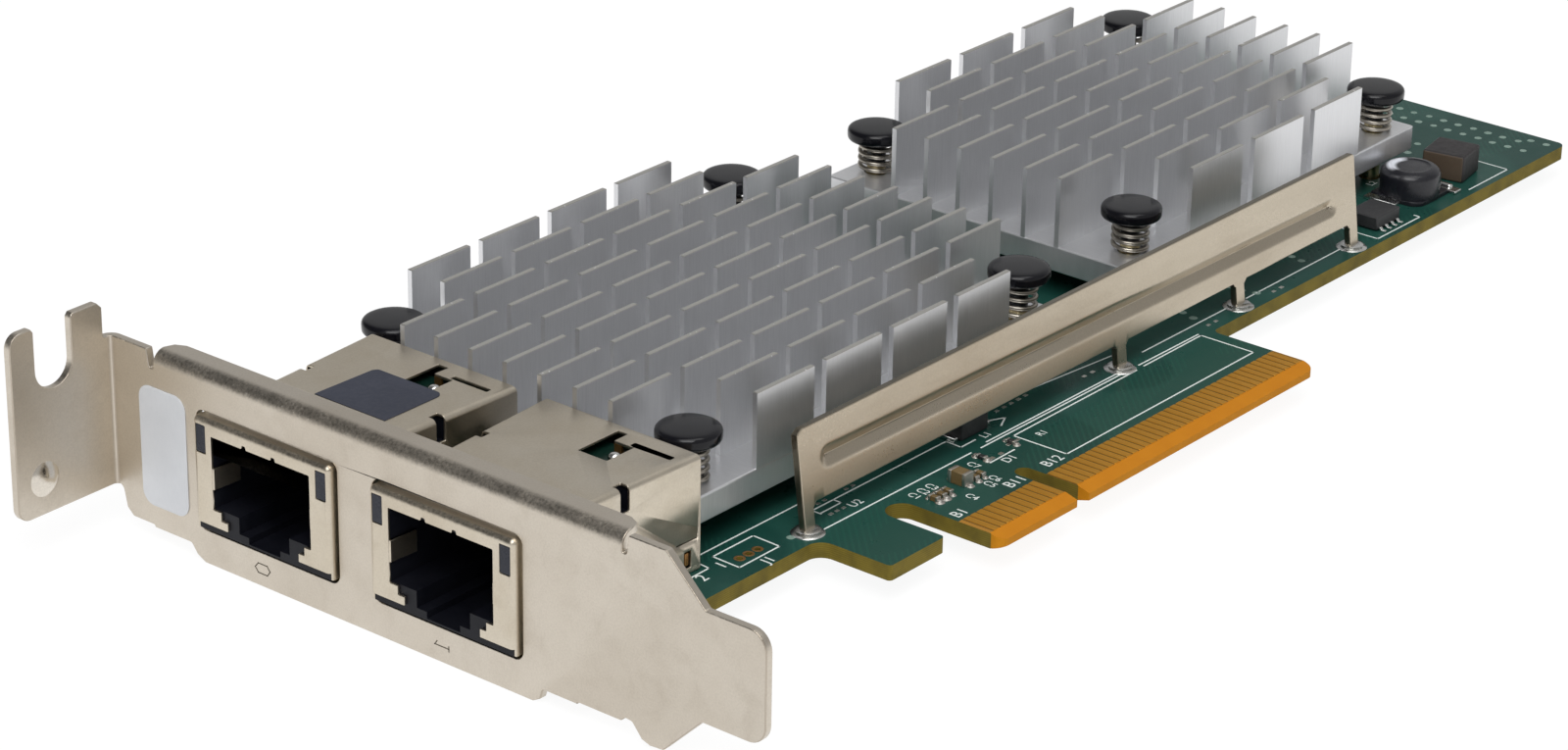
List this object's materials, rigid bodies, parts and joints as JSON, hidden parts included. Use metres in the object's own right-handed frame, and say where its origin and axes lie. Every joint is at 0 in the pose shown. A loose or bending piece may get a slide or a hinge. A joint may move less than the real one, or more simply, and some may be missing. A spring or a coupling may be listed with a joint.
{
  "type": "network interface card",
  "caption": "Low-profile plug-in card with a folded bracket, shielded network jacks, finned heatsinks on sprung pins, a stiffener rail and a gold edge connector.",
  "frame": {"origin": "outer face of the bracket strip, level with the board's component side, on the line of the board's main lower edge", "axes": "+X along the card away from the bracket, +Y towards the bracket's screw flange, +Z off the component side"},
  "size_m": [0.1796, 0.0794, 0.0231],
  "materials": {
    "board_laminate": "satin green solder mask on glass laminate",
    "gold_plate": "plated gold over copper",
    "nickel_sheet": "nickel-plated sheet steel",
    "shield_sheet": "nickel-plated thin sheet",
    "screw_steel": "zinc-plated",
    "insert_brass": "turned",
    "label_paper": "satin silver-white label",
    "sticker_plastic": "matte dark film",
    "heatsink_aluminium": "extruded, plain",
    "chip_plastic": "moulded epoxy",
    "thermal_rubber": "soft pad",
    "cap_plastic": "glossy black",
    "shank_brass": "bright",
    "spring_steel": "dark drawn wire",
    "solder_tin": "reflowed solder",
    "inductor_ceramic": "ferrite with potted top",
    "capacitor_plastic": "dark brown moulded block",
    "capacitor_ceramic": "fired tan ceramic",
    "resistor_ceramic": "black glaze",
    "crystal_can": "drawn can",
    "jack_plastic": "black moulding",
    "lens_plastic": "smoked clear lens",
    "magnetics_plastic": "black moulding"
  },
  "bodies": {
    "root": {"circuit_board": "board_laminate", "component_side_contacts": "gold_plate", "solder_side_contacts": "gold_plate", "mounting_bracket": "nickel_sheet", "bracket_screws": "screw_steel", "threaded_inserts": "insert_brass", "bracket_label": "label_paper", "jack_sticker": "sticker_plastic", "front_heatsink": "heatsink_aluminium", "rear_heatsink": "heatsink_aluminium", "front_chip": "chip_plastic", "rear_chip": "chip_plastic", "front_thermal_pad": "thermal_rubber", "rear_thermal_pad": "thermal_rubber", "front_pin_caps": "cap_plastic", "rear_pin_caps": "cap_plastic", "front_pin_shanks": "shank_brass", "rear_pin_shanks": "shank_brass", "front_pin_springs": "spring_steel", "rear_pin_springs": "spring_steel", "stiffener_rail": "nickel_sheet", "rail_solder": "solder_tin", "round_inductor": "inductor_ceramic", "inductor_terminals": "solder_tin", "film_capacitor": "capacitor_plastic", "power_chip": "chip_plastic", "power_chip_leads": "solder_tin", "rail_inductor": "chip_plastic", "rail_inductor_terminals": "solder_tin", "chip_capacitors": "capacitor_ceramic", "chip_resistors": "resistor_ceramic", "chip_part_terminals": "solder_tin", "memory_chip": "chip_plastic", "memory_chip_leads": "solder_tin", "clock_crystal": "crystal_can", "zero_jack_shield": "shield_sheet", "zero_jack_body": "jack_plastic", "zero_jack_contacts": "gold_plate", "zero_jack_lenses": "lens_plastic", "zero_jack_magnetics": "magnetics_plastic", "zero_jack_leads": "solder_tin", "one_jack_shield": "shield_sheet", "one_jack_body": "jack_plastic", "one_jack_contacts": "gold_plate", "one_jack_lenses": "lens_plastic", "one_jack_magnetics": "magnetics_plastic", "one_jack_leads": "solder_tin"}
  },
  "joints": []
}
